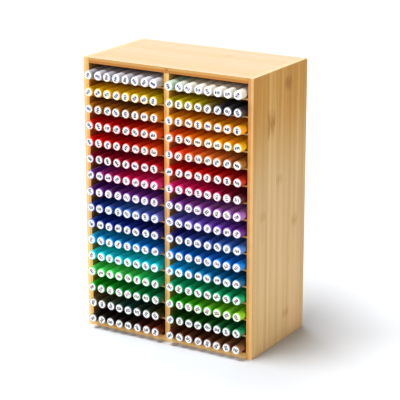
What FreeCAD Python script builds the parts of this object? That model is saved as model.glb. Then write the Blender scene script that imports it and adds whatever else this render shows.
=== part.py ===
import FreeCAD, Part
import os
import random
import Sketcher
from FreeCAD import Vector

# Marker organizer: an open-fronted bamboo box, two bays wide, with thin shelves in stopped grooves
# and one layer of capped markers in every compartment.
# Frame: X to the right, Y to the back, Z up. The origin is the middle of the base, on its underside.

doc = FreeCAD.newDocument("marker_organizer")
sheet = doc.addObject("Spreadsheet::Sheet", "Sizes")

# Driving dimensions in millimetres, and counts
SIZES = {
    "rows": 16,
    "markers_per_bay": 8,
    "marker_diameter": 13.2,
    "marker_length": 148.4,
    "marker_play": 1.0,
    "marker_sway": 0.4,
    "marker_slip": 1.6,
    "marker_protrusion": 12.0,
    "marker_lift": 0.3,
    "cap_length": 46.0,
    "tail_cap_length": 38.0,
    "cap_tip_diameter": 11.8,
    "cap_rim": 0.5,
    "bay_play": 1.0,
    "finger_room": 6.5,
    "rear_gap": 0.6,
    "side_board": 8.4,
    "deck_board": 7.9,
    "divider_board": 7.9,
    "back_board": 4.0,
    "shelf_board": 2.6,
    "shelf_setback": 5.6,
    "groove_depth": 2.4,
    "groove_play": 0.2,
    "rebate_lap": 4.0,
    "rebate_play": 0.1,
    "edge_round": 0.7,
    "shelf_round": 0.5,
    "dowel_diameter": 4.0,
    "dowel_length": 14.0,
    "dowel_bite": 4.6,
    "dowel_play": 0.1,
    "dowel_inset": 24.0,
}
for line, (alias, value) in enumerate(SIZES.items(), start=1):
    sheet.set(f"A{line}", alias.replace("_", " "))
    sheet.set(f"B{line}", str(value))
    sheet.setAlias(f"B{line}", alias)
doc.recompute()

# Worked-out sizes, as expressions on the sheet
MARKER_PITCH = "(Sizes.marker_diameter + Sizes.marker_play)"
BAY = f"(Sizes.markers_per_bay * {MARKER_PITCH} + Sizes.bay_play)"
INNER_WIDTH = f"(2 * {BAY} + Sizes.divider_board)"
WIDTH = f"({INNER_WIDTH} + 2 * Sizes.side_board)"
INNER_DEPTH = "(Sizes.marker_length - Sizes.marker_protrusion + Sizes.rear_gap)"
DEPTH = f"({INNER_DEPTH} + Sizes.back_board)"
CLEAR = "(Sizes.marker_diameter + Sizes.finger_room)"
ROW_PITCH = f"({CLEAR} + Sizes.shelf_board)"
INNER_HEIGHT = f"(Sizes.rows * {ROW_PITCH} - Sizes.shelf_board)"
HEIGHT = f"({INNER_HEIGHT} + 2 * Sizes.deck_board)"
SLOT = "(Sizes.shelf_board + Sizes.groove_play)"
HOLE_IN_FACE = "(Sizes.dowel_bite + Sizes.dowel_play)"
HOLE_IN_END = "(Sizes.dowel_length - Sizes.dowel_bite + Sizes.dowel_play)"
DOWEL_PLACES = ("Sizes.dowel_inset", f"({INNER_DEPTH} / 2)", f"({INNER_DEPTH} - Sizes.dowel_inset)")
LEFT_WALL = f"(-{WIDTH} / 2 + Sizes.side_board)"


def number(expression):
    """The value of an expression on the sheet, in millimetres."""
    return float(sheet.evalExpression(str(expression)))


ROWS = round(number("Sizes.rows"))
MARKERS_PER_BAY = round(number("Sizes.markers_per_bay"))


def bind(thing, paths):
    """Binds properties of an object, given as path: expression, to the sheet."""
    for path, expression in paths.items():
        thing.setExpression(path, expression)


def place(thing, x, y, z):
    bind(thing, {"Placement.Base.x": x, "Placement.Base.y": y, "Placement.Base.z": z})


def origin_feature(body, role):
    return next(item for item in body.Origin.OriginFeatures if item.Role == role)


def new_body(label, x, y, z):
    """A board whose own corner is at (x, y, z) in the organizer's frame."""
    body = doc.addObject("PartDesign::Body", label)
    body.Label = label
    place(body, x, y, z)
    return body


def new_sketch(body, name, role, offset="0"):
    """A sketch on one of the board's own planes, moved along that plane's normal by offset."""
    sketch = body.newObject("Sketcher::SketchObject", f"{body.Label}_{name}")
    sketch.AttachmentSupport = [(origin_feature(body, role), "")]
    sketch.MapMode = "FlatFace"
    bind(sketch, {"AttachmentOffset.Base.z": offset})
    return sketch


def dimension(sketch, kind, *where):
    """A driving dimension of the sketch, bound to the expression that comes last in where."""
    *ends, expression = where
    index = sketch.addConstraint(Sketcher.Constraint(kind, *ends, number(expression)))
    sketch.setExpression(f"Constraints[{index}]", str(expression))


def draw_rectangle(sketch, x, y, width, length):
    """A rectangle with its lowest corner at (x, y), all four given as expressions."""
    low_x, low_y = number(x), number(y)
    high_x, high_y = low_x + number(width), low_y + number(length)
    corners = [(low_x, low_y), (high_x, low_y), (high_x, high_y), (low_x, high_y)]
    first = sketch.GeometryCount
    for start, end in zip(corners, corners[1:] + corners[:1]):
        sketch.addGeometry(Part.LineSegment(Vector(*start, 0), Vector(*end, 0)))
    for side in range(4):
        following = first + (side + 1) % 4
        sketch.addConstraint(Sketcher.Constraint("Coincident", first + side, 2, following, 1))
        direction = "Horizontal" if side % 2 == 0 else "Vertical"
        sketch.addConstraint(Sketcher.Constraint(direction, first + side))
    dimension(sketch, "DistanceX", -1, 1, first, 1, x)
    dimension(sketch, "DistanceY", -1, 1, first, 1, y)
    dimension(sketch, "DistanceX", first, 1, first, 2, width)
    dimension(sketch, "DistanceY", first + 1, 1, first + 1, 2, length)


def draw_circle(sketch, x, y, diameter):
    """A circle about (x, y), all three given as expressions."""
    centre = Vector(number(x), number(y), 0)
    index = sketch.addGeometry(Part.Circle(centre, Vector(0, 0, 1), number(diameter) / 2))
    dimension(sketch, "DistanceX", -1, 1, index, 3, x)
    dimension(sketch, "DistanceY", -1, 1, index, 3, y)
    dimension(sketch, "Diameter", index, diameter)


def pad_board(body, across, along, thickness):
    """The plain board: a rectangle on XY, padded up by thickness."""
    outline = new_sketch(body, "outline", "XY_Plane")
    draw_rectangle(outline, "0", "0", across, along)
    board = body.newObject("PartDesign::Pad", f"{body.Label}_board")
    board.Profile = outline
    bind(board, {"Length": thickness})
    doc.recompute()
    return board


def cut(body, sketch, depth, forwards=False):
    """Cuts the sketch into the board, against the sketch's normal or, if forwards, along it."""
    before = body.Shape.Volume
    pocket = body.newObject("PartDesign::Pocket", f"{sketch.Name}_cut")
    pocket.Profile = sketch
    pocket.Reversed = forwards
    bind(pocket, {"Length": depth})
    doc.recompute()
    if body.Shape.Volume >= before:
        raise ValueError(f"{pocket.Name} cut nothing")
    return pocket


def round_edges(body, base, wanted=lambda middle: True):
    """Eases the edges of the plain board whose middle point is wanted."""
    names = [
        f"Edge{index}"
        for index, edge in enumerate(base.Shape.Edges, start=1)
        if wanted(edge.CenterOfMass)
    ]
    easing = body.newObject("PartDesign::Fillet", f"{body.Label}_eased")
    easing.Base = (base, names)
    bind(easing, {"Radius": "Sizes.edge_round"})
    doc.recompute()


def cut_grooves(body, faces, board_bottom):
    """The shelf grooves: one pocket in each face named by its lowest x, repeated for every shelf."""
    lowest_floor = f"(Sizes.deck_board - {board_bottom} + {CLEAR})"
    groove = new_sketch(body, "groove", "XY_Plane", f"{lowest_floor} + {SLOT}")
    run = f"({INNER_DEPTH} - Sizes.shelf_setback + Sizes.groove_play)"
    for lowest_x in faces:
        stop = "Sizes.shelf_setback - Sizes.groove_play"
        draw_rectangle(groove, lowest_x, stop, "Sizes.groove_depth", run)
    pocket = cut(body, groove, SLOT)
    before = body.Shape.Volume
    pattern = body.newObject("PartDesign::LinearPattern", f"{body.Label}_grooves")
    pattern.Originals = [pocket]
    pattern.Direction = (origin_feature(body, "Z_Axis"), [""])
    bind(pattern, {"Length": f"(Sizes.rows - 2) * {ROW_PITCH}", "Occurrences": "Sizes.rows - 1"})
    body.Tip = pattern
    doc.recompute()
    if body.Shape.Volume >= before:
        raise ValueError(f"{pattern.Name} cut nothing")


def cut_holes(body, name, role, offset, centres, depth, forwards=False):
    """Blind dowel holes about the given centres of one of the board's planes."""
    holes = new_sketch(body, name, role, offset)
    for x, y in centres:
        draw_circle(holes, x, y, "Sizes.dowel_diameter + Sizes.dowel_play")
    cut(body, holes, depth, forwards)


def make_side(label, is_left):
    """A full-height side panel: shelf grooves, a rebate for the back and dowel holes inside."""
    corner_x = f"-{WIDTH} / 2" if is_left else f"{WIDTH} / 2 - Sizes.side_board"
    body = new_body(label, corner_x, f"-{DEPTH} / 2", "0")
    board = pad_board(body, "Sizes.side_board", DEPTH, HEIGHT)
    round_edges(body, board)
    inner = "Sizes.side_board" if is_left else "0"
    groove_x = f"({inner} - Sizes.groove_depth)" if is_left else "0"
    rebate_x = f"({inner} - Sizes.rebate_lap)" if is_left else "0"
    rebate_top = f"({HEIGHT} - Sizes.deck_board + Sizes.rebate_lap)"
    rebate = new_sketch(body, "rebate", "XY_Plane", rebate_top)
    draw_rectangle(rebate, rebate_x, INNER_DEPTH, "Sizes.rebate_lap", "Sizes.back_board")
    cut(body, rebate, f"{INNER_HEIGHT} + 2 * Sizes.rebate_lap")
    levels = ("Sizes.deck_board / 2", f"({HEIGHT} - Sizes.deck_board / 2)")
    centres = [(y, z) for y in DOWEL_PLACES for z in levels]
    cut_holes(body, "dowel_holes", "YZ_Plane", inner, centres, HOLE_IN_FACE, not is_left)
    cut_grooves(body, [groove_x], "0")


def make_deck(label, bottom, inner_face, is_top):
    """The top or bottom panel, held between the sides. inner_face is the height of its inner face."""
    body = new_body(label, f"-{INNER_WIDTH} / 2", f"-{DEPTH} / 2", bottom)
    board = pad_board(body, INNER_WIDTH, DEPTH, "Sizes.deck_board")
    round_edges(body, board)
    rebate_level = "Sizes.rebate_lap" if is_top else "Sizes.deck_board"
    rebate = new_sketch(body, "rebate", "XY_Plane", rebate_level)
    draw_rectangle(rebate, "0", INNER_DEPTH, INNER_WIDTH, "Sizes.back_board")
    cut(body, rebate, "Sizes.rebate_lap")
    ends = [(y, "Sizes.deck_board / 2") for y in DOWEL_PLACES]
    cut_holes(body, "left_holes", "YZ_Plane", "0", ends, HOLE_IN_END, True)
    cut_holes(body, "right_holes", "YZ_Plane", INNER_WIDTH, ends, HOLE_IN_END)
    middle = [(f"{INNER_WIDTH} / 2", y) for y in DOWEL_PLACES]
    cut_holes(body, "middle_holes", "XY_Plane", inner_face, middle, HOLE_IN_FACE, is_top)


def make_divider(label):
    """The board that splits the box into two bays, grooved on both faces."""
    body = new_body(label, "-Sizes.divider_board / 2", f"-{DEPTH} / 2", "Sizes.deck_board")
    board = pad_board(body, "Sizes.divider_board", INNER_DEPTH, INNER_HEIGHT)
    half_height = number(INNER_HEIGHT) / 2
    round_edges(body, board, lambda middle: middle.y < 1e-6 and abs(middle.z - half_height) < 1e-6)
    centres = [("Sizes.divider_board / 2", y) for y in DOWEL_PLACES]
    cut_holes(body, "foot_holes", "XY_Plane", "0", centres, HOLE_IN_END, True)
    cut_holes(body, "head_holes", "XY_Plane", INNER_HEIGHT, centres, HOLE_IN_END)
    far_face = "Sizes.divider_board - Sizes.groove_depth"
    cut_grooves(body, ["0", far_face], "Sizes.deck_board")


def make_back(label):
    """The thin back board, let into the rebates so that it lies flush behind."""
    lap = "(Sizes.rebate_lap - Sizes.rebate_play)"
    across = f"({INNER_WIDTH} + 2 * {lap})"
    corner_z = f"Sizes.deck_board - {lap}"
    body = new_body(label, f"-{across} / 2", f"{DEPTH} / 2 - Sizes.back_board", corner_z)
    pad_board(body, across, "Sizes.back_board", f"{INNER_HEIGHT} + 2 * {lap}")


def make_shelf(label, bay_left, row):
    """A thin shelf under the given row, its ends in the grooves and its front edges eased."""
    bite = "(Sizes.groove_depth - Sizes.groove_play)"
    board = doc.addObject("Part::Box", f"{label}_board")
    floor = f"Sizes.deck_board + (Sizes.rows - {row}) * {ROW_PITCH} - Sizes.shelf_board"
    place(board, f"{bay_left} - {bite}", f"-{DEPTH} / 2 + Sizes.shelf_setback", floor)
    run = f"{INNER_DEPTH} - Sizes.shelf_setback - Sizes.groove_play"
    bind(board, {"Length": f"{BAY} + 2 * {bite}", "Width": run, "Height": "Sizes.shelf_board"})
    doc.recompute([board])
    front = board.Shape.BoundBox.YMin
    radius = number("Sizes.shelf_round")
    edges = [
        (index, radius, radius)
        for index, edge in enumerate(board.Shape.Edges, start=1)
        if edge.BoundBox.YMax < front + 1e-6 and edge.BoundBox.XLength > edge.BoundBox.ZLength
    ]
    shelf = doc.addObject("Part::Fillet", label)
    shelf.Label = label
    shelf.Base = board
    shelf.Edges = edges


def make_dowel(name, x, y, z, upright):
    """One dowel that starts at (x, y, z) and runs up, or to the right."""
    dowel = doc.addObject("Part::Cylinder", name)
    if not upright:
        dowel.Placement.Rotation = FreeCAD.Rotation(Vector(0, 1, 0), 90)
    bind(dowel, {"Radius": "Sizes.dowel_diameter / 2", "Height": "Sizes.dowel_length"})
    place(dowel, x, y, z)
    return dowel


def group(label, members):
    """Separate solids that share one node."""
    together = doc.addObject("Part::Compound", label)
    together.Label = label
    together.Links = members


def make_dowels():
    """Three dowels in each joint: side to deck at the corners, divider to deck in the middle."""
    far_end = "(Sizes.dowel_length - Sizes.dowel_bite)"
    starts = {
        "left": f"{LEFT_WALL} - Sizes.dowel_bite",
        "right": f"-{LEFT_WALL} - {far_end}",
    }
    levels = {"low": "Sizes.deck_board / 2", "high": f"{HEIGHT} - Sizes.deck_board / 2"}
    corners = [
        make_dowel(f"dowel_{side}_{level}_{index}", x, f"{y} - {DEPTH} / 2", z, False)
        for side, x in starts.items()
        for level, z in levels.items()
        for index, y in enumerate(DOWEL_PLACES, start=1)
    ]
    group("corner_dowels", corners)
    floors = {
        "foot": "Sizes.deck_board - Sizes.dowel_bite",
        "head": f"{HEIGHT} - Sizes.deck_board - {far_end}",
    }
    middles = [
        make_dowel(f"dowel_{end}_{index}", "0", f"{y} - {DEPTH} / 2", z, True)
        for end, z in floors.items()
        for index, y in enumerate(DOWEL_PLACES, start=1)
    ]
    group("divider_dowels", middles)


def marker_solid():
    """A capped marker that lies along Y, its numbered end at the origin. Both caps widen to the barrel."""
    length = number("Sizes.marker_length")
    barrel, tip = (number(f"Sizes.{name}_diameter") / 2 for name in ("marker", "cap_tip"))
    rim = number("Sizes.cap_rim")
    cap_end = number("Sizes.cap_length")
    tail_start = length - number("Sizes.tail_cap_length")
    profile = [
        (0, 0),
        (tip - rim, 0),
        (tip, rim),
        (barrel, cap_end),
        (barrel, tail_start),
        (tip, length - rim),
        (tip - rim, length),
        (0, length),
    ]
    points = [Vector(radius, along, 0) for radius, along in profile]
    face = Part.Face(Part.makePolygon(points + points[:1]))
    return face.revolve(Vector(0, 0, 0), Vector(0, 1, 0), 360)


def make_marker_row(label, row, marker):
    """All markers of one row, each lying a little out of line with its neighbours."""
    pitch = number(MARKER_PITCH)
    first_in_bay = (number(BAY) - (MARKERS_PER_BAY - 1) * pitch) / 2
    bay_starts = (number(LEFT_WALL), number("Sizes.divider_board / 2"))
    axis_height = number(
        f"Sizes.deck_board + (Sizes.rows - {row}) * {ROW_PITCH}"
        " + Sizes.marker_lift + Sizes.marker_diameter / 2"
    )
    front = -number(DEPTH) / 2 - number("Sizes.marker_protrusion")
    sway, slip = number("Sizes.marker_sway"), number("Sizes.marker_slip")
    uneven = random.Random(row)
    markers = []
    for bay_start in bay_starts:
        for place_in_bay in range(MARKERS_PER_BAY):
            x = bay_start + first_in_bay + place_in_bay * pitch + uneven.uniform(-sway, sway)
            y = front - uneven.uniform(0, slip)
            markers.append(marker.translated(Vector(x, y, axis_height)))
    feature = doc.addObject("Part::Feature", label)
    feature.Label = label
    feature.Shape = Part.makeCompound(markers)


make_side("side_panel_left", True)
make_side("side_panel_right", False)
make_deck("bottom_panel", "0", "Sizes.deck_board", False)
make_deck("top_panel", f"{HEIGHT} - Sizes.deck_board", "0", True)
make_divider("centre_divider")
make_back("back_panel")
for shelf_row in range(1, ROWS):
    make_shelf(f"shelf_left_{shelf_row:02d}", LEFT_WALL, shelf_row)
    make_shelf(f"shelf_right_{shelf_row:02d}", "Sizes.divider_board / 2", shelf_row)
make_dowels()
one_marker = marker_solid()
for marker_row in range(1, ROWS + 1):
    make_marker_row(f"markers_row_{marker_row:02d}", marker_row, one_marker)
doc.recompute()

# A fault in any object stops the build before a file is written
for item in doc.Objects:
    if "Invalid" in item.State or "Error" in item.State:
        raise ValueError(f"{item.Label} failed: {item.State}")
NODE_STARTS = ("side_", "bottom_", "top_", "centre_", "back_", "shelf_", "corner_", "divider_", "markers_")
KINDS = ("PartDesign::Body", "Part::Fillet", "Part::Compound", "Part::Feature")
nodes = [item for item in doc.Objects if item.TypeId in KINDS and item.Label.startswith(NODE_STARTS)]
for node in nodes:
    if node.Shape.isNull() or not node.Shape.isValid():
        raise ValueError(f"{node.Label} has no valid shape")

os.makedirs("parts", exist_ok=True)
for node in nodes:
    node.Shape.exportStep(f"parts/{node.Label}.step")
print(f"{len(nodes)} nodes, {sum(len(node.Shape.Solids) for node in nodes)} solids")
print("outside", [round(number(size), 3) for size in (WIDTH, DEPTH, HEIGHT)])
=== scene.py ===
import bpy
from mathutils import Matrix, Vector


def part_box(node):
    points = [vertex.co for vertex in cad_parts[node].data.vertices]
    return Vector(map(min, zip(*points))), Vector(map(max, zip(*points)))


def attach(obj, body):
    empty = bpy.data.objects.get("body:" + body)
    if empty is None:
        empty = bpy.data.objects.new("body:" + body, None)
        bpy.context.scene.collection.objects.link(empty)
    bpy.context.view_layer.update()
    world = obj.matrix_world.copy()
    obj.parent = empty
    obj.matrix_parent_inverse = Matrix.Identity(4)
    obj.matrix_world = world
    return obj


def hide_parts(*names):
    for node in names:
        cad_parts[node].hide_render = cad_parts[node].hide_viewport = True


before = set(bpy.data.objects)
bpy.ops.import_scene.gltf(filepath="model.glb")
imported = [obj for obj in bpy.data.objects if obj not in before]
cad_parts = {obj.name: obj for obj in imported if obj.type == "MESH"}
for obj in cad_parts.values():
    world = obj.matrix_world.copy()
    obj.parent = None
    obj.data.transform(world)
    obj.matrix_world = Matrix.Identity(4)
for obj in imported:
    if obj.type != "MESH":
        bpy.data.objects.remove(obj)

"""The looks of the marker organizer: a laminated bamboo box, two bays wide, full of capped markers.

Every length is in metres, in the box's own frame: X to the right, Y to the back, Z up, with the
origin at the middle of the base.
"""

import logging
import random
from dataclasses import dataclass, field
from enum import Enum
from typing import Any

import bpy
import numpy as np
from mathutils import Vector

log = logging.getLogger("marker_organizer")

Colour = tuple[float, float, float]
Range = tuple[float, float]
Shell = tuple[np.ndarray, list[tuple[int, ...]]]

MM = 0.001
# The outside of the box, and how many markers lie side by side in a bay and in a row.
WIDTH, DEPTH, HEIGHT = 0.2539, 0.141, 0.37
BAY_MARKERS = 8
ROW_MARKERS = 2 * BAY_MARKERS


def linear(red: int, green: int, blue: int) -> Colour:
    """Turns an 8-bit screen colour into scene light by the usual display curve.

    Args:
        red: Red, from 0 to 255.
        green: Green, from 0 to 255.
        blue: Blue, from 0 to 255.

    Returns:
        The same colour as three linear values.
    """
    screen = np.array([red, green, blue]) / 255
    light = np.where(screen <= 0.04045, screen / 12.92, ((screen + 0.055) / 1.055) ** 2.4)
    return tuple(float(value) for value in light)


class Grain(Enum):
    """How a board lies: the axes across its strips, along its fibres and through its plies."""

    SIDE = ("Y", "Z", "X")
    BACK = ("X", "Z", "Y")
    DECK = ("Y", "X", "Z")


class Ink(Enum):
    """The cap colours, as 8-bit screen colours."""

    ASH = (170, 170, 180)
    PEARL = (220, 220, 230)
    MINT = (200, 230, 210)
    CHALK = (240, 240, 230)
    YELLOW = (250, 200, 10)
    CITRON = (220, 200, 0)
    GRAPHITE = (60, 60, 70)
    BLACK = (40, 40, 40)
    OCHRE = (190, 130, 20)
    AMBER = (250, 170, 20)
    PEACH = (250, 160, 80)
    TAN = (160, 110, 50)
    ORANGE = (250, 110, 10)
    VERMILION = (240, 60, 20)
    RED = (220, 10, 20)
    BRICK = (190, 50, 40)
    CRIMSON = (210, 0, 60)
    MAROON = (150, 10, 70)
    WINE = (90, 10, 50)
    MAGENTA = (230, 0, 110)
    PINK = (250, 60, 160)
    LILAC = (190, 130, 210)
    VIOLET = (130, 70, 180)
    PURPLE = (110, 50, 150)
    LAVENDER = (150, 110, 230)
    PERIWINKLE = (120, 130, 220)
    INDIGO = (50, 50, 140)
    ROYAL = (20, 70, 170)
    CORNFLOWER = (80, 140, 220)
    AZURE = (0, 140, 230)
    SKY = (0, 200, 250)
    PETROL = (0, 120, 170)
    TURQUOISE = (10, 240, 240)
    DEEP_TEAL = (10, 90, 90)
    SEA_GREEN = (0, 190, 130)
    EMERALD = (0, 140, 100)
    APPLE = (100, 230, 110)
    GREEN = (0, 170, 30)
    LIME = (160, 230, 60)
    FOREST = (20, 90, 20)
    OLIVE_BLACK = (60, 60, 10)
    BARK = (110, 90, 60)
    RUST = (120, 50, 20)
    CHESTNUT = (110, 60, 40)
    ROSE_BROWN = (140, 100, 70)
    PRINT_BLUE = (50, 50, 120)
    PRINT_GREEN = (20, 70, 80)
    PRINT_RED = (120, 40, 70)
    PRINT_GREY = (60, 60, 80)

    @property
    def light(self) -> np.ndarray:
        """The colour as three linear values."""
        return np.array(linear(*self.value))


@dataclass(frozen=True)
class RowInks:
    """The colours of one row: each bay's run of inks from left to right, and the print's ink."""

    left: tuple[Ink, ...]
    right: tuple[Ink, ...]
    print_ink: Ink
    shades: Range = (0.86, 1.08)

    def colours(self, seed: int) -> np.ndarray:
        """Spreads each bay's inks evenly over its markers, and makes each a little darker or lighter.

        Args:
            seed: What the chances start from.

        Returns:
            One linear colour per marker, from left to right.
        """
        bays = []
        for run in (self.left, self.right):
            places, at = np.linspace(0.0, 1.0, BAY_MARKERS), np.linspace(0.0, 1.0, len(run))
            inks = np.array([ink.light for ink in run])
            bays.append(np.stack([np.interp(places, at, band) for band in inks.T], axis=1))
        shade = np.random.default_rng(seed).uniform(*self.shades, (ROW_MARKERS, 1))
        return np.minimum(np.concatenate(bays) * shade, 1.0)


ROW_INKS = {
    1: RowInks((Ink.ASH, Ink.PEARL), (Ink.MINT, Ink.CHALK, Ink.CHALK, Ink.CHALK), Ink.PRINT_BLUE),
    2: RowInks(
        (Ink.YELLOW, Ink.YELLOW, Ink.CITRON),
        (Ink.CITRON, Ink.CITRON, Ink.GRAPHITE, Ink.GRAPHITE),
        Ink.PRINT_BLUE,
    ),
    3: RowInks((Ink.OCHRE, Ink.TAN, Ink.AMBER), (Ink.AMBER,), Ink.PRINT_BLUE),
    4: RowInks((Ink.RED, Ink.RED, Ink.ORANGE), (Ink.ORANGE, Ink.AMBER, Ink.YELLOW), Ink.PRINT_GREEN),
    5: RowInks((Ink.RED, Ink.RED, Ink.ORANGE), (Ink.VERMILION, Ink.PEACH, Ink.TAN), Ink.PRINT_GREEN),
    6: RowInks((Ink.MAROON, Ink.CRIMSON), (Ink.RED, Ink.RED, Ink.BRICK), Ink.PRINT_GREEN),
    7: RowInks(
        (Ink.VIOLET, Ink.MAGENTA, Ink.PINK),
        (Ink.PINK, Ink.MAGENTA, Ink.WINE),
        Ink.PRINT_GREEN,
    ),
    8: RowInks((Ink.PURPLE, Ink.VIOLET), (Ink.VIOLET, Ink.LILAC), Ink.PRINT_GREY),
    9: RowInks(
        (Ink.ROYAL, Ink.CORNFLOWER, Ink.PERIWINKLE),
        (Ink.PERIWINKLE, Ink.LAVENDER, Ink.PURPLE),
        Ink.PRINT_GREY,
    ),
    10: RowInks((Ink.ROYAL, Ink.ROYAL, Ink.INDIGO), (Ink.INDIGO, Ink.CORNFLOWER), Ink.PRINT_GREY),
    11: RowInks((Ink.SKY, Ink.AZURE), (Ink.AZURE,), Ink.PRINT_RED),
    12: RowInks((Ink.TURQUOISE,), (Ink.SKY, Ink.PETROL), Ink.PRINT_RED),
    13: RowInks((Ink.APPLE, Ink.APPLE, Ink.SEA_GREEN), (Ink.SEA_GREEN,), Ink.PRINT_RED),
    14: RowInks((Ink.GREEN, Ink.EMERALD), (Ink.GREEN, Ink.LIME), Ink.PRINT_RED),
    15: RowInks(
        (Ink.BARK, Ink.DEEP_TEAL, Ink.OLIVE_BLACK),
        (Ink.FOREST, Ink.FOREST, Ink.EMERALD),
        Ink.PRINT_GREY,
    ),
    16: RowInks(
        (Ink.BLACK, Ink.BLACK, Ink.RUST),
        (Ink.CHESTNUT, Ink.CHESTNUT, Ink.ROSE_BROWN),
        Ink.PRINT_GREY,
    ),
}


@dataclass(frozen=True)
class Drawn:
    """Noise drawn out along fibres: its waves per metre across and along them, and its detail."""

    across: float
    along: float
    detail: float


@dataclass
class Graph:
    """A node tree, with short ways to add the nodes that the finishes share."""

    tree: bpy.types.NodeTree

    def feed(self, socket: bpy.types.NodeSocket, value: Any) -> None:
        """Links a socket to another's output, or sets its value.

        Args:
            socket: The input to feed.
            value: Another node's output, or a constant.
        """
        if isinstance(value, bpy.types.NodeSocket):
            self.tree.links.new(value, socket)
        elif isinstance(value, tuple) and len(value) == 3 and socket.type == "RGBA":
            socket.default_value = (*value, 1)
        else:
            socket.default_value = value

    def add(self, kind: str, inputs: dict[Any, Any] | None = None, **settings: Any) -> bpy.types.Node:
        """Adds a node.

        Args:
            kind: The node's type, without its ShaderNode prefix.
            inputs: What feeds each input, by the input's name or number.
            settings: The node's own settings.

        Returns:
            The new node.
        """
        node = self.tree.nodes.new(f"ShaderNode{kind}")
        for name, value in settings.items():
            setattr(node, name, value)
        for name, value in (inputs or {}).items():
            self.feed(node.inputs[name], value)
        return node

    def math(self, operation: str, *values: Any) -> bpy.types.NodeSocket:
        """The result of one arithmetic step on the values."""
        return self.add("Math", dict(enumerate(values)), operation=operation).outputs[0]

    def axes(self, vector: bpy.types.NodeSocket) -> dict[str, bpy.types.NodeSocket]:
        """The X, Y and Z of a vector, by name."""
        split = self.add("SeparateXYZ", {0: vector})
        return {name: split.outputs[name] for name in "XYZ"}

    def vector(self, x: Any, y: Any, z: Any) -> bpy.types.NodeSocket:
        """A vector made of three values."""
        return self.add("CombineXYZ", {0: x, 1: y, 2: z}).outputs[0]

    def blend(self, factor: Any, first: Any, second: Any, how: str = "MIX") -> bpy.types.NodeSocket:
        """One colour laid over another by a factor."""
        inputs = {0: factor, 6: first, 7: second}
        return self.add("Mix", inputs, data_type="RGBA", blend_type=how).outputs[2]

    def ease(self, value: Any, none: float, full: float) -> bpy.types.NodeSocket:
        """Adds a smooth step.

        Args:
            value: What is compared.
            none: Where the step is still 0.
            full: Where the step is already 1. It may lie below none.

        Returns:
            The step, from 0 to 1.
        """
        span = (0.0, 1.0) if full > none else (1.0, 0.0)
        inputs = {
            "Value": value,
            "From Min": min(none, full),
            "From Max": max(none, full),
            "To Min": span[0],
            "To Max": span[1],
        }
        return self.add("MapRange", inputs, interpolation_type="SMOOTHSTEP").outputs[0]

    def noise(self, vector: bpy.types.NodeSocket, scale: float, detail: float) -> bpy.types.NodeSocket:
        """A cloudy value from 0 to 1 at each point of the vector."""
        inputs = {"Vector": vector, "Scale": scale, "Detail": detail}
        return self.add("TexNoise", inputs).outputs[0]

    def drawn(
        self, at: dict[str, bpy.types.NodeSocket], noise: Drawn, shift: tuple[Any, Any] = (0.0, 0.0)
    ) -> bpy.types.NodeSocket:
        """Adds noise that is drawn out along the Y axis.

        Args:
            at: The point's X, Y and Z, by name.
            noise: How fine the noise is.
            shift: What is added to the point across and along, in waves.

        Returns:
            A value from 0 to 1 at each point.
        """
        across = self.math("MULTIPLY_ADD", at["X"], noise.across, shift[0])
        along = self.math("MULTIPLY_ADD", at["Y"], noise.along, shift[1])
        through = self.math("MULTIPLY", at["Z"], noise.across)
        return self.noise(self.vector(across, along, through), 1.0, noise.detail)


def new_group(
    name: str, inputs: dict[str, tuple[str, Any]], outputs: dict[str, str]
) -> tuple[Graph, Any, Any]:
    """Starts a shader node group.

    Args:
        name: The group's name.
        inputs: Each input's kind of socket and value, by its name.
        outputs: Each output's kind of socket, by its name.

    Returns:
        The group's graph, its input sockets and its output sockets.
    """
    tree = bpy.data.node_groups.new(name, "ShaderNodeTree")
    for label, (kind, value) in inputs.items():
        socket = tree.interface.new_socket(label, in_out="INPUT", socket_type=f"NodeSocket{kind}")
        if value is not None:
            socket.default_value = (*value, 1) if kind == "Color" else value
    for label, kind in outputs.items():
        tree.interface.new_socket(label, in_out="OUTPUT", socket_type=f"NodeSocket{kind}")
    source = tree.nodes.new("NodeGroupInput")
    sink = tree.nodes.new("NodeGroupOutput")
    return Graph(tree), source.outputs, sink.inputs


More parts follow.
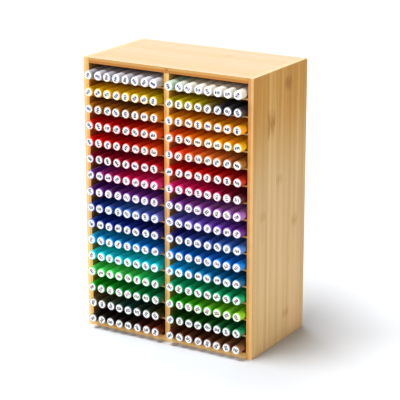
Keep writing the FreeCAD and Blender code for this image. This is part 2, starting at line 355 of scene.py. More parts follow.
@dataclass(frozen=True)
class Laminate:
    """Glued bamboo strips in two plies, each with a tone and fibres of its own.

    A point's strip is its distance across over the strip's width, rounded down, and its ply is its
    depth over the ply's thickness, rounded down. Strip, ply and seed pick a chance tone. Fibres are
    noise drawn out along the board. Thin glue lines fall where strips or plies meet. Each range
    says where its effect is none and where it is full.
    """

    fibre: Drawn = Drawn(120.0, 2.0, 7.0)
    thread: Drawn = Drawn(2400.0, 34.0, 2.0)
    cloud: Drawn = Drawn(34.0, 5.0, 1.0)
    scatter: float = 60.0
    chance_share: float = 0.45
    streak_share: float = 0.55
    streak_range: Range = (0.34, 0.66)
    cloud_share: float = 0.3
    cloud_level: float = -0.12
    inner_range: Range = (0.96, 1.04)
    cut_range: Range = (0.1 * MM, 0.6 * MM)
    seam_range: Range = (0.016, 0.0)
    ply_range: Range = (0.05, 0.0)
    ply_share: float = 0.6
    glue_share: float = 0.32
    glue_tint: Colour = (0.34, 0.19, 0.07)
    glue_dip: float = 0.7
    dark_range: Range = (0.56, 0.74)
    dark_share: float = 0.16
    dark_tint: Colour = (0.42, 0.24, 0.09)
    roughness: float = 0.34
    thread_roughness: float = 0.22

    def group(self) -> bpy.types.NodeTree:
        """Builds the effect.

        Returns:
            The node group, with outputs Color, Tone, Height and Roughness.
        """
        graph, source, sink = new_group(
            "laminated_bamboo",
            {
                "Place": ("Vector", None),
                "Strip Width": ("Float", 0.0212),
                "Strip Shift": ("Float", 0.0),
                "Ply": ("Float", 0.0042),
                "Seed": ("Float", 0.0),
                "Pale": ("Color", (0.8, 0.6, 0.35)),
                "Golden": ("Color", (0.7, 0.45, 0.2)),
                "Inner": ("Color", (0.65, 0.36, 0.13)),
                "Inner Share": ("Float", 0.5),
                "Edge": ("Color", (1.0, 1.0, 1.0)),
            },
            {"Color": "Color", "Tone": "Float", "Height": "Float", "Roughness": "Float"},
        )
        at = graph.axes(source["Place"])
        strips = graph.math("DIVIDE", at["X"], source["Strip Width"])
        strips = graph.math("ADD", strips, source["Strip Shift"])
        plies = graph.math("DIVIDE", at["Z"], source["Ply"])
        strip, ply = graph.math("FLOOR", strips), graph.math("FLOOR", plies)
        chance = graph.add("TexWhiteNoise", {"Vector": graph.vector(strip, ply, source["Seed"])})
        own = graph.axes(chance.outputs["Color"])
        shift = tuple(graph.math("MULTIPLY", own[axis], self.scatter) for axis in "XY")
        fibre = graph.drawn(at, self.fibre, shift)
        thread = graph.drawn(at, self.thread, shift)
        cloud = graph.drawn(at, self.cloud, shift)
        streak = graph.math("MULTIPLY", graph.ease(fibre, *self.streak_range), self.streak_share)
        tone = graph.math("MULTIPLY_ADD", own["Z"], self.chance_share, streak)
        cloud = graph.math("MULTIPLY_ADD", cloud, self.cloud_share, self.cloud_level)
        tone = graph.math("ADD", tone, cloud)
        wood = graph.blend(tone, source["Pale"], source["Golden"])
        inner = graph.math("MULTIPLY", graph.ease(plies, *self.inner_range), source["Inner Share"])
        wood = graph.blend(inner, wood, source["Inner"])
        wood = graph.blend(graph.ease(at["Z"], *self.cut_range), wood, source["Edge"], "MULTIPLY")
        seam = graph.ease(graph.math("PINGPONG", strips, 0.5), *self.seam_range)
        line = graph.ease(graph.math("PINGPONG", plies, 0.5), *self.ply_range)
        glue = graph.math("MAXIMUM", seam, graph.math("MULTIPLY", line, self.ply_share))
        wood = graph.blend(graph.math("MULTIPLY", glue, self.glue_share), wood, self.glue_tint)
        dark = graph.math("MULTIPLY", graph.ease(thread, *self.dark_range), self.dark_share)
        wood = graph.blend(dark, wood, self.dark_tint)
        height = graph.math("MULTIPLY_ADD", thread, 0.5, graph.math("MULTIPLY", fibre, 0.5))
        height = graph.math("SUBTRACT", height, graph.math("MULTIPLY", glue, self.glue_dip))
        rough = graph.math("MULTIPLY_ADD", thread, self.thread_roughness, self.roughness)
        results = {"Color": wood, "Tone": tone, "Height": height, "Roughness": rough}
        for output, value in results.items():
            graph.feed(sink[output], value)
        return graph.tree


@dataclass(frozen=True)
class StemJoint:
    """The mark that a bamboo stem's joint leaves in one strip.

    It is a box as wide as the strip, soft and ragged at both ends, broken up by short noise along
    the fibres. Each range says where its effect is none and where it is full.
    """

    bundles: Drawn = Drawn(330.0, 22.0, 2.0)
    ragged: float = 2.4
    flecks: Drawn = Drawn(760.0, 90.0, 4.0)
    fleck_range: Range = (0.38, 0.64)
    fleck_share: float = 0.6
    wide_range: Range = (1.0, 0.6)
    long_range: Range = (1.05, 0.25)

    def group(self) -> bpy.types.NodeTree:
        """Builds the effect.

        Returns:
            The node group, with output Mask.
        """
        graph, source, sink = new_group(
            "stem_joint",
            {
                "Place": ("Vector", None),
                "Across": ("Float", 0.0),
                "Along": ("Float", 0.0),
                "Half Width": ("Float", 0.0098),
                "Half Length": ("Float", 0.0085),
                "Top": ("Float", -0.001),
                "Bottom": ("Float", 0.0042),
            },
            {"Mask": "Float"},
        )
        at = graph.axes(source["Place"])
        across = graph.math("ABSOLUTE", graph.math("SUBTRACT", at["X"], source["Across"]))
        along = graph.math("ABSOLUTE", graph.math("SUBTRACT", at["Y"], source["Along"]))
        wide = graph.ease(graph.math("DIVIDE", across, source["Half Width"]), *self.wide_range)
        bundles = graph.drawn(at, self.bundles)
        ragged = graph.math("MULTIPLY_ADD", bundles, self.ragged, -self.ragged / 2)
        reach = graph.math("ADD", graph.math("DIVIDE", along, source["Half Length"]), ragged)
        long = graph.ease(reach, *self.long_range)
        below = graph.math("GREATER_THAN", at["Z"], source["Top"])
        above = graph.math("LESS_THAN", at["Z"], source["Bottom"])
        fleck = graph.ease(graph.drawn(at, self.flecks), *self.fleck_range)
        mask = graph.math("MULTIPLY_ADD", fleck, self.fleck_share, 1.0 - self.fleck_share)
        for part in (wide, long, below, above):
            mask = graph.math("MULTIPLY", mask, part)
        graph.feed(sink["Mask"], mask)
        return graph.tree


@dataclass(frozen=True)
class Moulding:
    """Moulded plastic's faint unevenness, and the scuffs that handling leaves on it."""

    scuffs: Drawn = Drawn(900.0, 60.0, 3.0)
    scuff_roughness: float = 0.2
    skin_scale: float = 1600.0
    skin_shade: float = 0.12
    darkest: float = 0.94

    def group(self) -> bpy.types.NodeTree:
        """Builds the effect.

        Returns:
            The node group, with outputs Height, Roughness and Shade.
        """
        graph, source, sink = new_group(
            "moulded_plastic",
            {"Place": ("Vector", None), "Gloss": ("Float", 0.3)},
            {"Height": "Float", "Roughness": "Float", "Shade": "Float"},
        )
        scuff = graph.drawn(graph.axes(source["Place"]), self.scuffs)
        skin = graph.noise(source["Place"], self.skin_scale, 1.0)
        height = graph.math("MULTIPLY_ADD", scuff, 0.5, graph.math("MULTIPLY", skin, 0.5))
        rough = graph.math("MULTIPLY_ADD", scuff, self.scuff_roughness, source["Gloss"])
        shade = graph.math("MULTIPLY_ADD", skin, self.skin_shade, self.darkest)
        results = {"Height": height, "Roughness": rough, "Shade": shade}
        for output, value in results.items():
            graph.feed(sink[output], value)
        return graph.tree


@dataclass(frozen=True)
class Groups:
    """The shared effects, each built once."""

    laminate: bpy.types.NodeTree
    knot: bpy.types.NodeTree
    moulding: bpy.types.NodeTree


def start_material(
    name: str, shine: dict[str, Any]
) -> tuple[Graph, bpy.types.Node, bpy.types.NodeSocket]:
    """Starts a material on a plain surface shader.

    Args:
        name: The material's name.
        shine: The shader's constant inputs, by name.

    Returns:
        The material's graph, its shader and the object's own coordinates.
    """
    material = bpy.data.materials.new(name)
    material.use_nodes = True
    graph = Graph(material.node_tree)
    shader = graph.tree.nodes["Principled BSDF"]
    for socket, value in shine.items():
        graph.feed(shader.inputs[socket], value)
    return graph, shader, graph.add("TexCoord").outputs["Object"]


@dataclass(frozen=True)
class Knot:
    """The mark of a stem joint: its place in the board, its size, its depth, strength and tint."""

    across: float
    along: float
    width: float = 19.6 * MM
    length: float = 17.0 * MM
    depth: Range = (-1.0 * MM, 4.2 * MM)
    strength: float = 0.8
    tint: Colour = (0.68, 0.44, 0.18)


@dataclass(frozen=True)
class Fade:
    """A tint that comes in along the fibres: on the outer face alone, or through the whole board. It
    serves as painted shade.
    """

    start: float
    full: float
    tint: Colour
    whole: bool = False


LACQUER = {"Coat Weight": 0.05, "Coat Roughness": 0.3, "Specular IOR Level": 0.25}


@dataclass(frozen=True)
class BambooFinish:
    """Clear-lacquered laminated bamboo on one board."""

    name: str
    grain: Grain
    outer_face: float
    inward: int
    seed: float
    shift: float = 0.0
    strip: float = 21.2 * MM
    ply: float = 4.2 * MM
    pale: Colour = linear(238, 202, 138)
    golden: Colour = linear(220, 172, 96)
    inner: Colour = linear(208, 148, 76)
    inner_share: float = 0.5
    edge: Colour = (1.0, 1.0, 1.0)
    knots: tuple[Knot, ...] = ()
    fades: tuple[Fade, ...] = ()
    face_range: Range = (0.9 * MM, 0.3 * MM)
    tone_share: float = 0.9
    tone_rest: float = 0.55
    end: float | None = None
    end_range: Range = (-0.8 * MM, -0.2 * MM)
    end_grain: Colour = linear(236, 212, 172)

    def material(self, groups: Groups) -> bpy.types.Material:
        """Turns the board's axes so that X runs across its strips, Y along its fibres and Z inwards.

        Args:
            groups: The shared effects.

        Returns:
            The board's material.
        """
        graph, shader, place = start_material(self.name, LACQUER)
        at = graph.axes(place)
        across, along, through = (at[name] for name in self.grain.value)
        depth = graph.math("MULTIPLY_ADD", through, float(self.inward), -self.inward * self.outer_face)
        board = graph.vector(across, along, depth)
        strips = {
            "Place": board,
            "Strip Width": self.strip,
            "Strip Shift": self.shift,
            "Ply": self.ply,
            "Seed": self.seed,
            "Pale": self.pale,
            "Golden": self.golden,
            "Inner": self.inner,
            "Inner Share": self.inner_share,
            "Edge": self.edge,
        }
        laminate = graph.add("Group", strips, node_tree=groups.laminate)
        wood = laminate.outputs["Color"]
        for knot in self.knots:
            extent = {
                "Place": board,
                "Across": knot.across,
                "Along": knot.along,
                "Half Width": knot.width / 2,
                "Half Length": knot.length / 2,
                "Top": knot.depth[0],
                "Bottom": knot.depth[1],
            }
            mark = graph.add("Group", extent, node_tree=groups.knot)
            share = graph.math("MULTIPLY", mark.outputs["Mask"], knot.strength)
            wood = graph.blend(share, wood, knot.tint, "MULTIPLY")
        uneven = graph.math("MULTIPLY_ADD", laminate.outputs["Tone"], self.tone_share, self.tone_rest)
        # On the right side these tints are painted shade, darker and oranger towards the top.
        for fade in self.fades:
            face = 1.0 if fade.whole else graph.ease(depth, *self.face_range)
            share = graph.math("MULTIPLY", graph.ease(along, fade.start, fade.full), face)
            share = graph.math("MULTIPLY", share, uneven)
            wood = graph.blend(share, wood, fade.tint, "MULTIPLY")
        if self.end is not None:
            none, full = (self.end + offset for offset in self.end_range)
            wood = graph.blend(graph.ease(along, none, full), wood, self.end_grain)
        relief = {"Strength": 0.18, "Distance": 0.3 * MM, "Height": laminate.outputs["Height"]}
        graph.feed(shader.inputs["Base Color"], wood)
        graph.feed(shader.inputs["Roughness"], laminate.outputs["Roughness"])
        graph.feed(shader.inputs["Normal"], graph.add("Bump", relief).outputs[0])
        return bpy.data.materials[self.name]


@dataclass(frozen=True)
class PlasticFinish:
    """Moulded plastic, in one colour or in the colour that each marker carries as its ink."""

    name: str
    gloss: float
    colour: Colour | None = None
    coat: float = 0.0

    def material(self, groups: Groups) -> bpy.types.Material:
        """Builds the plastic.

        Args:
            groups: The shared effects.

        Returns:
            The material.
        """
        shine = {"Coat Weight": self.coat, "Coat Roughness": 0.2}
        graph, shader, place = start_material(self.name, shine)
        handled = {"Place": place, "Gloss": self.gloss}
        moulding = graph.add("Group", handled, node_tree=groups.moulding)
        if self.colour is None:
            base = graph.add("Attribute", attribute_name="ink").outputs["Color"]
        else:
            base = self.colour
        shade = graph.vector(*[moulding.outputs["Shade"]] * 3)
        graph.feed(shader.inputs["Base Color"], graph.blend(1.0, base, shade, "MULTIPLY"))
        graph.feed(shader.inputs["Roughness"], moulding.outputs["Roughness"])
        relief = {"Strength": 0.1, "Distance": 0.1 * MM, "Height": moulding.outputs["Height"]}
        graph.feed(shader.inputs["Normal"], graph.add("Bump", relief).outputs[0])
        return bpy.data.materials[self.name]


@dataclass(frozen=True)
class Stem:
    """How stem joints come along a strip: their spacing, and the range of each one's measures."""

    spacing: float = 260.0 * MM
    spacing_shares: Range = (0.85, 1.1)
    lengths: Range = (12.0 * MM, 26.0 * MM)
    strengths: Range = (0.25, 0.6)

    def joints(self, seed: int, strips: list[float], start: float, length: float) -> tuple[Knot, ...]:
        """Spreads joints over a board: one in each strip per spacing, at a chance place.

        Args:
            seed: What the chances start from.
            strips: Each strip's middle, across the board.
            start: Where the board starts, along the fibres.
            length: The board's length.

        Returns:
            The joints.
        """
        chance = random.Random(seed)
        joints = []
        for middle in strips:
            at = start + chance.uniform(0, self.spacing)
            while at < start + length:
                size, strength = chance.uniform(*self.lengths), chance.uniform(*self.strengths)
                joints.append(Knot(middle, at, length=size, strength=strength))
                at += self.spacing * chance.uniform(*self.spacing_shares)
        return tuple(joints)


@dataclass
class Carcass:
    """The fixed box: sides, decks, divider, back, shelves and hidden dowels."""

    width: float = WIDTH
    depth: float = DEPTH
    height: float = HEIGHT
    divider: float = 7.9 * MM
    shelves: int = 15
    shelf_ply: float = 2.7 * MM
    shelf_shift: float = 0.15
    strip: float = 21.2 * MM
    side_strips: int = 6
    first_side_strip: float = -53.2 * MM
    back_strips: int = 11
    back_start: float = 20.0 * MM
    back_length: float = 330.0 * MM
    stem: Stem = Stem()
    side_knots: tuple[Knot, ...] = (
        Knot(0.019, 0.3475, 22.0 * MM, length=24.0 * MM, strength=0.85, tint=(0.6, 0.42, 0.03)),
        Knot(0.0205, 0.036, strength=0.6),
        Knot(-0.0245, 0.3025, 24.0 * MM, length=40.0 * MM, strength=1.0, tint=(0.62, 0.42, 0.03)),
        Knot(-0.002, 0.2255, strength=0.5, tint=(0.8, 0.56, 0.36)),
        Knot(-0.0438, 0.1855, strength=0.4),
        Knot(0.0415, 0.1595, length=22.0 * MM, strength=0.5),
    )
    # Painted shade: the right side grows darker and oranger towards its top, standing in for the pale
    # sheen that its lower part catches and its top lacks.
    side_painted_shade: tuple[Fade, ...] = (
        Fade(-0.03, 0.32, (0.83, 0.84, 0.84)),
        Fade(0.2, 0.36, (1.0, 0.78, 0.26)),
        Fade(0.22, 0.37, (0.85, 0.82, 0.86), whole=True),
    )

    def finishes(self) -> dict[str, BambooFinish]:
        """Says how each board looks.

        The left side keeps every second of its chance joints and the back every third, so that
        they stay rare.

        Returns:
            One finish per board, by the board's node.
        """
        half_width, half_depth = self.width / 2, self.depth / 2
        side = [self.first_side_strip + self.strip * index for index in range(self.side_strips)]
        back = [self.strip * (index - self.back_strips // 2) for index in range(self.back_strips)]
        left_knots = self.stem.joints(seed=4, strips=side, start=0.0, length=self.height)
        back_knots = self.stem.joints(
            seed=9, strips=back, start=self.back_start, length=self.back_length
        )
        front_stain = Knot(
            across=-half_depth, along=0.5 * MM, width=8.0 * MM, length=5.0 * MM,
            depth=(1.5 * MM, 4.5 * MM), strength=1.0, tint=(0.3, 0.14, 0.1),
        )
        return {
            "side_panel_right": BambooFinish(
                "bamboo_right", Grain.SIDE, outer_face=half_width, inward=-1, seed=3.0, shift=0.52,
                pale=linear(248, 215, 161), golden=linear(229, 187, 126), inner_share=0.6,
                edge=(0.96, 0.88, 0.76), knots=self.side_knots, fades=self.side_painted_shade, end=self.height,
            ),
            "side_panel_left": BambooFinish(
                "bamboo_left", Grain.SIDE, outer_face=-half_width, inward=1, seed=11.0, shift=0.2,
                inner_share=0.3, knots=left_knots[::2], end=self.height,
            ),
            # The top's pale face against its darker front edge is partly the bamboo's own colour and
            # partly painted highlight, paler for the bright light falling on top.
            "top_panel": BambooFinish(
                "bamboo_top", Grain.DECK, outer_face=self.height, inward=-1, seed=5.0, shift=0.3,
                pale=linear(244, 225, 201), golden=linear(237, 212, 171), inner_share=0.6,
                edge=(0.66, 0.45, 0.2), knots=(front_stain, Knot(0.0316, 0.034, strength=0.2)),
            ),
            "bottom_panel": BambooFinish(
                "bamboo_bottom", Grain.DECK, outer_face=0.0, inward=1, seed=8.0, shift=0.3,
            ),
            "centre_divider": BambooFinish(
                "bamboo_divider", Grain.SIDE, outer_face=self.divider / 2, inward=-1, seed=21.0,
                shift=0.4, inner_share=0.6,
            ),
            "back_panel": BambooFinish(
                "bamboo_back", Grain.BACK, outer_face=half_depth, inward=-1, seed=14.0, shift=0.1,
                knots=back_knots[::3],
            ),
        }

    def shelf_finish(self, node: str, seed: float, shift: float) -> BambooFinish:
        """Says how one thin shelf looks: a single ply, with a tone of its own.

        Args:
            node: The shelf's node.
            seed: What its strips' chances start from.
            shift: How far its strips are moved, in strips.

        Returns:
            The shelf's finish.
        """
        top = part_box(node)[1].z
        return BambooFinish(
            f"bamboo_{node}", Grain.DECK, outer_face=top, inward=-1, seed=seed, shift=shift,
            ply=self.shelf_ply, pale=linear(234, 196, 142), golden=linear(214, 164, 102),
            inner_share=0.0,
        )

    def build(self, groups: Groups) -> None:
        """Dresses every node of the box in its own wood.

        Args:
            groups: The shared effects.
        """
        for node, finish in self.finishes().items():
            self.dress(node, finish.material(groups))
        for side, first_seed in (("left", 30.0), ("right", 30.5)):
            for row in range(1, self.shelves + 1):
                node = f"shelf_{side}_{row:02d}"
                finish = self.shelf_finish(node, first_seed + row, self.shelf_shift * row)
                self.dress(node, finish.material(groups))
        dowel = BambooFinish(
            "bamboo_dowels", Grain.DECK, outer_face=0.0, inward=1, seed=60.0, strip=3.0 * MM,
            inner_share=0.0,
        )
        for node in ("corner_dowels", "divider_dowels"):
            self.dress(node, dowel.material(groups))

    def dress(self, node: str, material: bpy.types.Material) -> None:
        """Puts one material on a node of the frame.

        Args:
            node: The node's name.
            material: Its material.
        """
        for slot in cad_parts[node].material_slots:
            slot.material = material
        log.info("dressed %s in %s", node, material.name)


def lathe(profile: list[tuple[float, float]], segments: int) -> Shell:
    """Turns a profile about the Y axis into a closed shell.

    A point of the shell is (r cos a, y, r sin a), for each pair (r, y) of the profile and each of the
    segments' angles a. One flat face closes each end.

    Args:
        profile: Radius and distance along the axis, from one end to the other.
        segments: How many flat sides the shell has.

    Returns:
        The shell's points and its faces.
    """
    radius, along = np.array(profile).T
    angle = np.arange(segments) * 2 * np.pi / segments
    ring_x, ring_z = np.outer(radius, np.cos(angle)), np.outer(radius, np.sin(angle))
    ring_y = np.repeat(along[:, None], segments, axis=1)
    points = np.stack([ring_x, ring_y, ring_z], axis=2).reshape(-1, 3)
    here = np.arange(segments)
    after = (here + 1) % segments
    low = np.arange(len(profile) - 1)[:, None] * segments
    sides = np.stack([low + here, low + segments + here, low + segments + after, low + after], axis=2)
    last = (len(profile) - 1) * segments
    ends = [tuple(here.tolist()), tuple((last + here[::-1]).tolist())]
    return points, ends + [tuple(side) for side in sides.reshape(-1, 4).tolist()]


@dataclass
class Heap:
    """Copies of small shapes, gathered into one mesh, each point with the ink of its copy."""

    points: list[np.ndarray] = field(default_factory=list)
    faces: list[tuple[int, ...]] = field(default_factory=list)
    inks: list[np.ndarray] = field(default_factory=list)
    count: int = 0

    def add(self, points: np.ndarray, faces: list[tuple[int, ...]], ink: np.ndarray) -> None:
        """Adds one shape.

        Args:
            points: Its points, in place.
            faces: Its faces, by the points' numbers.
            ink: Its colour, or one colour per point.
        """
        self.faces += [tuple(index + self.count for index in face) for face in faces]
        self.points.append(points)
        colours = np.broadcast_to(ink, (len(points), 3))
        self.inks.append(np.column_stack([colours, np.ones(len(points))]))
        self.count += len(points)

    def piece(self, name: str, material: bpy.types.Material, smooth: float | None) -> bpy.types.Object:
        """Makes the gathered shapes into one object.

        Args:
            name: The object's name.
            material: Its material.
            smooth: The steepest fold, in degrees, that is shaded as a curve, or None for flat faces.

        Returns:
            The object.
        """
        mesh = bpy.data.meshes.new(name)
        mesh.from_pydata(np.concatenate(self.points).tolist(), [], self.faces)
        ink = mesh.color_attributes.new("ink", "FLOAT_COLOR", "POINT")
        ink.data.foreach_set("color", np.concatenate(self.inks).astype(np.float32).ravel())
        mesh.materials.append(material)
        if smooth is not None:
            mesh.polygons.foreach_set("use_smooth", np.ones(len(mesh.polygons), bool))
            mesh.set_sharp_from_angle(angle=np.radians(smooth))
        mesh.update()
        made = bpy.data.objects.new(name, mesh)
        bpy.context.scene.collection.objects.link(made)
        return made


@dataclass
class Digits:
    """The plain figures 0 to 9, as flat shapes that stand in the XZ plane and face the front."""

    height: float = 3.6 * MM
    narrowing: float = 0.8
    spacing: float = 2.25 * MM
    weight: float = 0.075
    drawn_height: float = 0.73
    shapes: dict[str, Shell] = field(default_factory=dict)

    def build(self) -> None:
        """Draws each figure once as text, with few points in its curves, and keeps its mesh."""
        for figure in "0123456789":
            text = bpy.data.curves.new(f"figure_{figure}", "FONT")
            text.body = figure
            text.resolution_u = 1
            text.offset = self.weight
            holder = bpy.data.objects.new(f"figure_{figure}", text)
            bpy.context.scene.collection.objects.link(holder)
            bpy.context.view_layer.update()
            mesh = bpy.data.meshes.new_from_object(holder)
            flat = np.zeros(len(mesh.vertices) * 3)
            mesh.vertices.foreach_get("co", flat)
            flat = flat.reshape(-1, 3)
            middle = (flat.min(axis=0) + flat.max(axis=0)) / 2
            scale = self.height / self.drawn_height
            width = (flat[:, 0] - middle[0]) * self.narrowing
            points = np.stack([width, np.zeros(len(flat)), flat[:, 1] - middle[1]], axis=1)
            faces = [tuple(face.vertices) for face in mesh.polygons]
            self.shapes[figure] = (points * scale, faces)
            bpy.data.meshes.remove(mesh)
            bpy.data.objects.remove(holder)
            bpy.data.curves.remove(text)

    def number(self, value: str) -> Shell:
        """Sets figures side by side about the origin.

        Args:
            value: The number's figures.

        Returns:
            The number's points and faces.
        """
        points, faces, count = [], [], 0
        for place, figure in enumerate(value):
            shape, own_faces = self.shapes[figure]
            shift = (place - (len(value) - 1) / 2) * self.spacing
            points.append(shape + [shift, 0, 0])
            faces += [tuple(index + count for index in face) for face in own_faces]
            count += len(shape)
        return np.concatenate(points), faces


@dataclass
class MarkerRow:
    """The sixteen capped markers of one row, where the frame says that each one lies.

    Both caps narrow from the diameter to the tip at their ends, and the barrel is thinner by a step.
    Each measure that is named a face, an edge, the rim, the cap or the tail is a distance along the
    marker from its nearer end. The rim's shares of white paint a highlight on the front cap's
    four rings.
    """

    row: int
    inks: RowInks
    diameter: float = 13.2 * MM
    tip: float = 11.8 * MM
    length: float = 148.4 * MM
    cap: float = 46.0 * MM
    tail: float = 38.0 * MM
    step: float = 0.4 * MM
    rim: float = 3.5 * MM
    rim_highlight_shares: tuple[float, ...] = (0.42, 0.03, 0.0, 0.0)
    flare: float = 0.1 * MM
    rounding: float = 0.5 * MM
    face: float = 0.12 * MM
    front_edge: float = 1.0 * MM
    rear_edge: float = 0.6 * MM
    label: float = 9.5 * MM
    label_face: float = 0.05 * MM
    print_face: float = 0.02 * MM
    segments: int = 16
    fold: float = 35.0
    pitch: float = 14.2 * MM
    bay: float = 114.6 * MM
    divider: float = 7.9 * MM
    first_seed: int = 100
    cap_shades: Range = (0.9, 1.08)
    print_shades: Range = (0.4, 1.0)

    @property
    def node(self) -> str:
        """The name of the row's node, and of the body that it rides on."""
        return f"markers_row_{self.row:02d}"

    def places(self) -> np.ndarray:
        """Finds each marker's axis and numbered end in the frame.

        Each point of the node belongs to the marker whose nominal axis is nearest across the row.
        The axis is midway between the marker's outermost points, and its end is its foremost point.

        Returns:
            One (x, y, z) per marker, from left to right.
        """
        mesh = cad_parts[self.node].data
        flat = np.zeros(len(mesh.vertices) * 3)
        mesh.vertices.foreach_get("co", flat)
        points = flat.reshape(-1, 3)
        run = np.arange(BAY_MARKERS) * self.pitch
        first = (self.bay - run[-1]) / 2
        left = -self.divider / 2 - self.bay + first + run
        right = self.divider / 2 + first + run
        owner = np.abs(points[:, :1] - np.concatenate([left, right])).argmin(axis=1)
        found = []
        for marker in range(ROW_MARKERS):
            own = points[owner == marker]
            low, high = own.min(axis=0), own.max(axis=0)
            found.append([(low[0] + high[0]) / 2, low[1], (low[2] + high[2]) / 2])
        return np.array(found)

    def shells(self) -> dict[str, list[Shell]]:
        """The marker's own shapes, with its numbered end at the origin.

        Returns:
            The shells of each piece, by the piece's name.
        """
        tip, full, label = self.tip / 2, self.diameter / 2, self.label / 2
        tail, core = self.length - self.tail, full - self.step
        front = [
            (tip - self.rounding, self.face),
            (tip, self.front_edge),
            (tip + self.flare, self.rim),
            (full, self.cap),
        ]
        rear = [(full, tail), (tip, self.length - self.rear_edge), (tip - self.rounding, self.length)]
        barrel = [(core, self.cap), (core, tail)]
        disc = [(label, self.label_face), (label, self.face)]
        return {
            "caps": [lathe(front, self.segments), lathe(rear, self.segments)],
            "barrels": [lathe(barrel, self.segments)],
            "end_discs": [lathe(disc, self.segments)],
        }

    def build(self, materials: dict[str, bpy.types.Material], digits: Digits) -> None:
        """Builds the row's caps, barrels, end discs and numbers.

        Args:
            materials: The materials, by the pieces' names.
            digits: The figures for the numbers.
        """
        places, colours = self.places(), self.inks.colours(self.row)
        chance = random.Random(self.first_seed + self.row)
        shapes = self.shells()
        heaps = {name: Heap() for name in (*shapes, "numbers")}
        white = np.ones(3)
        # Painted highlight: white mixed into the front cap's rings, strongest at its front edge.
        pale = np.repeat(self.rim_highlight_shares, self.segments)[:, None]
        for index, (place, colour) in enumerate(zip(places, colours)):
            own = colour * chance.uniform(*self.cap_shades)
            for name, shells in shapes.items():
                for points, faces in shells:
                    ink = own if name == "caps" else white
                    # The front cap gets the painted highlight on its rim.
                    if name == "caps" and len(points) == len(pale):
                        ink = own + pale * (white - own)
                    heaps[name].add(points + place, faces, ink)
            points, faces = digits.number(f"{(self.row - 1) * ROW_MARKERS + index + 1:03d}")
            turn = chance.uniform(-np.pi, np.pi)
            cos, sin = np.cos(turn), np.sin(turn)
            x, y, z = points.T
            flat = np.stack([x * cos - z * sin, y + self.print_face, x * sin + z * cos], axis=1)
            print_ink = self.inks.print_ink.light * chance.uniform(*self.print_shades)
            heaps["numbers"].add(flat + place, faces, print_ink)
        for name, heap in heaps.items():
            fold = None if name == "numbers" else self.fold
            made = heap.piece(f"{name}_row_{self.row:02d}", materials[name], fold)
            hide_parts(self.node)
            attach(made, self.node)
            log.info("built %s: %d faces", made.name, len(made.data.polygons))


@dataclass(frozen=True)
class Lamp:
    """One far, soft light that falls evenly on the whole floor.

    Its source is the way towards it. Its share is how bright it makes a white face that is turned
    to it, where 1 is full white. Its spread is how wide it looks, in degrees.
    """

    name: str
    source: tuple[float, float, float]
    share: float
    spread: float = 30.0

    def hang(self) -> None:
        """Adds the light to the scene."""
        light = bpy.data.lights.new(self.name, "SUN")
        light.energy = self.share * np.pi
        light.angle = np.radians(self.spread)
        holder = bpy.data.objects.new(self.name, light)
        holder.rotation_euler = (-Vector(self.source)).to_track_quat("-Z", "Y").to_euler()
        bpy.context.scene.collection.objects.link(holder)


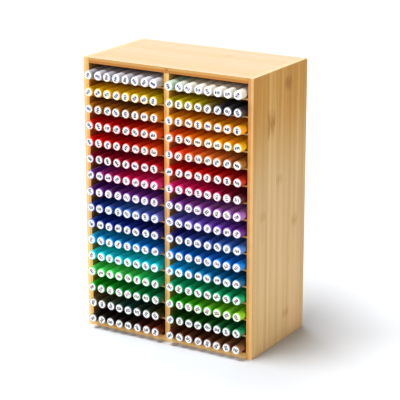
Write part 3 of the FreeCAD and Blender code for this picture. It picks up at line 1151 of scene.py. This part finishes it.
@dataclass
class Studio:
    """The pale floor, the soft light and the camera, whose aim and distance follow the box's size."""

    azimuth: float = 31.15
    elevation: float = 16.88
    distance: float = 5.84 * HEIGHT
    lens: float = 146.45
    sensor: float = 36.0
    aim: tuple[float, float, float] = (
        0.357 * HEIGHT - WIDTH / 2,
        0.2 * HEIGHT - DEPTH / 2,
        0.478 * HEIGHT,
    )
    floor_size: float = 24.0
    floor_colour: Colour = (0.755, 0.775, 0.805)
    lamps: tuple[Lamp, ...] = (
        Lamp("soft_left_front", (-0.265, -0.265, 0.927), 0.70),
        Lamp("soft_left", (-0.375, 0.0, 0.927), 0.20),
        Lamp("soft_left_back", (-0.354, 0.354, 0.866), 0.29),
        Lamp("front_high", (0.0, -0.914, 0.407), 0.31),
        Lamp("front_low", (0.0, -0.985, 0.174), 0.16),
        Lamp("right_low", (0.995, 0.0, 0.105), 0.31, spread=14.0),
    )

    def build(self) -> None:
        """Builds the floor, the lights and the camera."""
        self.build_floor()
        self.build_lights()
        self.build_camera()

    def build_floor(self) -> None:
        """Lays one wide flat face under the box."""
        half = self.floor_size / 2
        mesh = bpy.data.meshes.new("studio_floor")
        corners = [(-half, -half, 0), (half, -half, 0), (half, half, 0), (-half, half, 0)]
        mesh.from_pydata(corners, [], [(0, 1, 2, 3)])
        floor = bpy.data.objects.new("studio_floor", mesh)
        bpy.context.scene.collection.objects.link(floor)
        graph, shader, _ = start_material("floor_paper", {"Roughness": 0.9, "Specular IOR Level": 0.1})
        graph.feed(shader.inputs["Base Color"], self.floor_colour)
        mesh.materials.append(bpy.data.materials["floor_paper"])

    def build_lights(self) -> None:
        """Lights the box from a wide source high on its left, and weakly from in front and the right.

        The white sky is only seen by the camera, and lights nothing.
        """
        for lamp in self.lamps:
            lamp.hang()
        world = bpy.data.worlds.new("studio_sky")
        world.use_nodes = True
        bpy.context.scene.world = world
        graph = Graph(world.node_tree)
        sky = graph.tree.nodes["Background"]
        graph.feed(sky.inputs["Color"], (1.0, 1.0, 1.0))
        graph.feed(sky.inputs["Strength"], graph.add("LightPath").outputs["Is Camera Ray"])

    def build_camera(self) -> None:
        """Sets the camera at the photograph's angle, on a long lens."""
        azimuth, elevation = np.radians(self.azimuth), np.radians(self.elevation)
        back = Vector(
            (
                np.sin(azimuth) * np.cos(elevation),
                -np.cos(azimuth) * np.cos(elevation),
                np.sin(elevation),
            )
        )
        lens = bpy.data.cameras.new("camera")
        lens.lens = self.lens
        lens.sensor_width = self.sensor
        camera = bpy.data.objects.new("camera", lens)
        camera.location = Vector(self.aim) + back * self.distance
        camera.rotation_euler = (-back).to_track_quat("-Z", "Y").to_euler()
        bpy.context.scene.collection.objects.link(camera)
        bpy.context.scene.camera = camera
        grading = bpy.context.scene.view_settings
        grading.view_transform = "Standard"
        grading.look = "Medium High Contrast"


def main() -> None:
    """Builds the studio, the box and the sixteen rows of markers."""
    logging.basicConfig(level=logging.INFO, format="%(name)s: %(message)s")
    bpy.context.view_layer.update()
    Studio().build()
    groups = Groups(Laminate().group(), StemJoint().group(), Moulding().group())
    Carcass().build(groups)
    digits = Digits()
    digits.build()
    finishes = {
        "caps": PlasticFinish("cap_plastic", gloss=0.26, coat=0.2),
        "barrels": PlasticFinish("barrel_plastic", gloss=0.4, colour=linear(236, 234, 228)),
        "end_discs": PlasticFinish("label_white", gloss=0.35, colour=(0.85, 0.85, 0.85)),
        "numbers": PlasticFinish("number_print", gloss=0.45),
    }
    materials = {name: finish.material(groups) for name, finish in finishes.items()}
    for row, inks in ROW_INKS.items():
        MarkerRow(row, inks).build(materials, digits)


if __name__ == "__main__":
    main()
